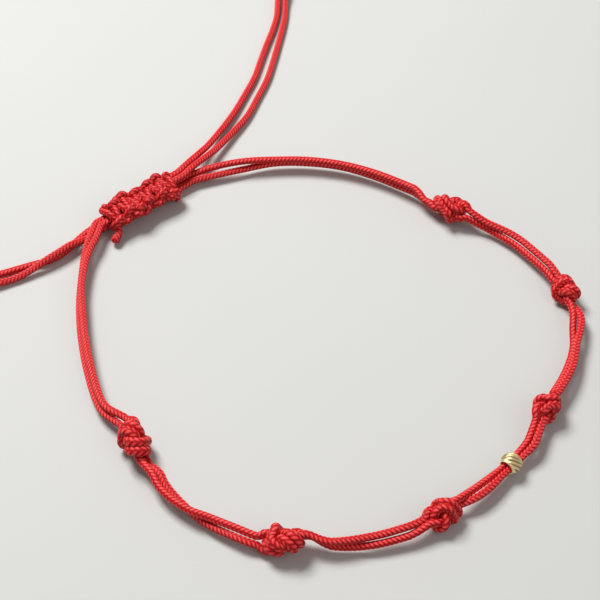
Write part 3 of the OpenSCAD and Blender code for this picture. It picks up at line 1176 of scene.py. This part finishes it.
@functools.cache
def gold_finish():
    """Polished pale gold with fine wear, and a painted reflection, darker than the gold, along one
    flank of each cut.
    """
    gold = bpy.context.scene.bracelet_colours.gold
    kit = NodeKit("Polished gold")
    cloud, fine = kit.noise(1500.0, 3.0), kit.noise(9000.0, 2.0)
    worn = [channel * share for channel, share in zip(gold, GOLD_WORN)]
    painted_reflection = [channel * share for channel, share in zip(gold, GOLD_PAINTED_REFLECTION)]
    # Share of the painted reflection on a cut's flank
    cut = kit.value("ShaderNodeAttribute", {"attribute_name": CUT_SHADE}, output="Fac")
    return kit.finish(
        Base_Color=kit.mix(cut, kit.mix(cloud, gold, worn), painted_reflection),
        Metallic=1.0,
        Roughness=0.42 + cloud * 0.12,
        Normal=kit.bump(0.12, 0.00002, fine),
    )


@functools.cache
def floor_finish():
    """Plain pale floor, with faint clouds."""
    colour = bpy.context.scene.bracelet_colours.floor
    kit = NodeKit("Pale floor")
    darker = [channel * FLOOR_CLOUD for channel in colour]
    return kit.finish(Base_Color=kit.mix(kit.noise(40.0, 2.0), colour, darker), Roughness=0.75)


# The bead


def bead_outline(radius, hole):
    """The closed outline of the bead's wall as radius and height, and half its length."""
    half = math.sqrt(radius**2 - (hole + BEAD_LIP) ** 2)
    turns = [math.pi / 2 * (2 * k / BEAD_RINGS - 1) for k in range(BEAD_RINGS + 1)]
    outer = [(math.sqrt(radius**2 - z**2), z) for z in (half * math.sin(turn) for turn in turns)]
    across, along = HOLE_BEVEL
    inner = [(hole + across * BEAD_LIP, half), (hole, half - along * BEAD_LIP)]
    return outer + inner + [(r, -z) for r, z in inner[::-1]], half


def cut_bead(bm, sizes, half):
    """Slanted hollow cuts round the outside, and the attribute that paints a reflection, darker
    than the gold, on one flank of each.
    """
    radius, hole = sizes.diameter / 2, sizes.hole / 2
    shade = bm.verts.layers.float.new(CUT_SHADE)
    for vert in bm.verts:
        x, y, z = vert.co
        r = math.hypot(x, y)
        if r < hole + 0.5 * BEAD_LIP:
            continue
        turn = math.atan2(y, x) / (2 * math.pi) + BEAD_SLANT * z / radius
        across = (turn * sizes.facets) % 1.0
        fade = max(0.0, 1 - (z / (CUT_REACH * half)) ** CUT_FADE)
        scale = 1 - sizes.cut_depth / r * (1 - (2 * across - 1) ** 2) * fade
        vert.co.x, vert.co.y = x * scale, y * scale
        # Painted reflection, darker than the gold, along one flank of the cut
        flank = max(0.0, 1 - abs(across - CUT_SHADE_AT) / CUT_SHADE_HALF)
        vert[shade] = fade * flank**CUT_SHADE_ROUND


# Operators


class BRACELET_OT_camera(bpy.types.Operator):
    """Puts the camera where the photograph was taken from"""

    bl_idname = "bracelet.camera"
    bl_label = "Camera"

    def execute(self, context):
        studio = context.scene.studio_settings
        data = bpy.data.cameras.new("Camera")
        data.lens = studio.lens
        data.sensor_width = 36
        data.clip_start, data.clip_end = 0.005, 10
        camera = bpy.data.objects.new("Camera", data)
        back = Vector((0, -math.cos(studio.elevation), math.sin(studio.elevation)))
        camera.location = Vector(CAMERA_TARGET) * MM + back * studio.distance
        camera.rotation_euler = (-back).to_track_quat("-Z", "Y").to_euler()
        context.scene.collection.objects.link(camera)
        context.scene.camera = camera
        return {"FINISHED"}


class BRACELET_OT_tails(bpy.types.Operator):
    """Makes the two pairs of free string ends, from inside the sliding knot to their knots"""

    bl_idname = "bracelet.tails"
    bl_label = "Tails"

    def execute(self, context):
        for tail, way in (("left", BEFORE), ("top", AFTER)):
            knot = string_piece(f"end_knot_{tail}", "red_knot")
            exit_face, _ = end_face("slider_knot", way, OUTER)
            for side in SIDE_WORD.values():
                name = f"tail_{tail}_{side}"
                piece = string_piece(name, "red_braid")
                centre = string_runs()[name][0]["centre"] * MM
                exit_face * MM
        return {"FINISHED"}


class BRACELET_OT_spans(bpy.types.Operator):
    """Makes the doubled string from knot to knot"""

    bl_idname = "bracelet.spans"
    bl_label = "Loop"

    def execute(self, context):
        for number in range(1, len(SPANS) + 1):
            for side in SIDE_WORD.values():
                string_piece(f"span_{number}_{side}", "red_braid")
        return {"FINISHED"}


class BRACELET_OT_knots(bpy.types.Operator):
    """Makes the overhand knots of the loop"""

    bl_idname = "bracelet.knots"
    bl_label = "Knots"

    def execute(self, context):
        for name in LOOP_KNOTS:
            string_piece(name, "red_knot")
        return {"FINISHED"}


class BRACELET_OT_slider(bpy.types.Operator):
    """Makes the sliding knot, one string in square knots round four strands"""

    bl_idname = "bracelet.slider"
    bl_label = "Sliding knot"

    def execute(self, context):
        sizes = context.scene.string_sizes
        path = tie_slider() * [-1.0, 1.0, 1.0]
        path[:, 0] *= (SLIDER_DRAWN_LEN - 2 * SLIDER_DRAWN_R) / np.ptp(path[:, 0])
        path[:, 0] -= (SLIDER_LEN - SLIDER_DRAWN_LEN) / 2
        path[:, 2] += SLIDER_DRAWN_R - SLIDER_MIDDLE[Z] - path[:, 2].min()
        path = smoothed(even_steps(np.concatenate([[SLIDER_NUB], path]), TIE_STEP), 2)
        neck = [0, SLIDER_NUB_POINTS]
        thick = np.interp(np.arange(len(path)), neck, [SLIDER_NUB_R, SLIDER_DRAWN_R])
        string = [("slider_knot", np.column_stack([path, thick]))]
        (run,) = runs_of_string(string, sizes)["slider_knot"]
        mesh = braided_tube(run, sizes)
        place = Matrix.Translation(Vector(shifted(SLIDER_MIDDLE) * MM))
        mesh.transform(place @ Matrix.Rotation(math.radians(SLIDER_HEADING), 4, "Z"))
        finish = string_finish("red_macrame")
        finished_piece("slider_knot_cord", [mesh], finish, "slider_knot")
        return {"FINISHED"}


class BRACELET_OT_bead(bpy.types.Operator):
    """Makes the gold bead with its slanted cuts"""

    bl_idname = "bracelet.bead"
    bl_label = "Bead"

    def execute(self, context):
        sizes = context.scene.bead_sizes
        outline, half = bead_outline(sizes.diameter / 2, sizes.hole / 2)
        bm = bmesh.new()
        verts = [bm.verts.new((r, 0.0, z)) for r, z in outline]
        edges = [bm.edges.new((a, b)) for a, b in zip(verts, verts[1:] + verts[:1])]
        bmesh.ops.spin(
            bm, geom=verts + edges, axis=(0, 0, 1), cent=(0, 0, 0), angle=2 * math.pi,
            steps=BEAD_STEPS, use_merge=True,
        )
        bmesh.ops.remove_doubles(bm, verts=bm.verts, dist=MERGE_DISTANCE)
        cut_bead(bm, sizes, half)
        bmesh.ops.recalc_face_normals(bm, faces=bm.faces)
        for face in bm.faces:
            face.smooth = True
        mesh = bpy.data.meshes.new("bead")
        bm.to_mesh(mesh)
        bm.free()
        place = Matrix.Translation(Vector(shifted(BEAD_MIDDLE) * MM))
        heading = Matrix.Rotation(math.radians(BEAD_HEADING), 4, "Z")
        mesh.transform(place @ (heading @ Matrix.Rotation(math.pi / 2, 4, "Y")))
        finished_piece("bead_gold", [mesh], gold_finish(), "bead")
        return {"FINISHED"}


class BRACELET_OT_stage(bpy.types.Operator):
    """Makes the plain pale floor and the soft studio light"""

    bl_idname = "bracelet.stage"
    bl_label = "Stage"

    def execute(self, context):
        studio = context.scene.studio_settings
        bm = bmesh.new()
        bmesh.ops.create_grid(bm, x_segments=2, y_segments=2, size=FLOOR_SIZE)
        mesh = bpy.data.meshes.new("floor")
        bm.to_mesh(mesh)
        bm.free()
        mesh.materials.append(floor_finish())
        floor = bpy.data.objects.new("floor", mesh)
        context.scene.collection.objects.link(floor)
        world = bpy.data.worlds.new("Studio")
        world.use_nodes = True
        background = world.node_tree.nodes["Background"]
        background.inputs["Color"].default_value = (1, 1, 1, 1)
        background.inputs["Strength"].default_value = studio.ambient
        context.scene.world = world
        context.scene.view_settings.view_transform = "Standard"
        for name, place, width, power in LAMPS:
            data = bpy.data.lights.new(name, "AREA")
            data.shape, data.size, data.energy = "SQUARE", width, getattr(studio, power)
            lamp = bpy.data.objects.new(name, data)
            lamp.location = place
            lamp.rotation_euler = (-Vector(place)).to_track_quat("-Z", "Y").to_euler()
            context.scene.collection.objects.link(lamp)
        return {"FINISHED"}


class BRACELET_PT_panel(bpy.types.Panel):
    """Lists the sizes, the colours and the operators that make the bracelet"""

    bl_label = "Bracelet"
    bl_idname = "BRACELET_PT_panel"
    bl_space_type = "VIEW_3D"
    bl_region_type = "UI"
    bl_category = "Bracelet"

    def draw(self, context):
        for group, kind in GROUPS.items():
            box = self.layout.box()
            for key in kind.__annotations__:
                box.prop(getattr(context.scene, group), key)
        for operator in OPERATORS:
            self.layout.operator(operator.bl_idname)


GROUPS = {
    "string_sizes": StringSizes,
    "bead_sizes": BeadSizes,
    "bracelet_colours": BraceletColours,
    "studio_settings": StudioSettings,
}
OPERATORS = [
    BRACELET_OT_camera,
    BRACELET_OT_tails,
    BRACELET_OT_spans,
    BRACELET_OT_knots,
    BRACELET_OT_slider,
    BRACELET_OT_bead,
    BRACELET_OT_stage,
]


def register():
    for cls in [*GROUPS.values(), *OPERATORS, BRACELET_PT_panel]:
        bpy.utils.register_class(cls)
    for name, group in GROUPS.items():
        setattr(bpy.types.Scene, name, PointerProperty(type=group))


def unregister():
    for name in GROUPS:
        delattr(bpy.types.Scene, name)
    for cls in [BRACELET_PT_panel, *OPERATORS[::-1], *list(GROUPS.values())[::-1]]:
        bpy.utils.unregister_class(cls)


def main():
    register()
    bpy.ops.bracelet.camera()
    bpy.ops.bracelet.tails()
    bpy.ops.bracelet.spans()
    bpy.ops.bracelet.knots()
    bpy.ops.bracelet.slider()
    bpy.ops.bracelet.bead()
    bpy.ops.bracelet.stage()
    bpy.context.view_layer.update()


if __name__ == "__main__":
    main()
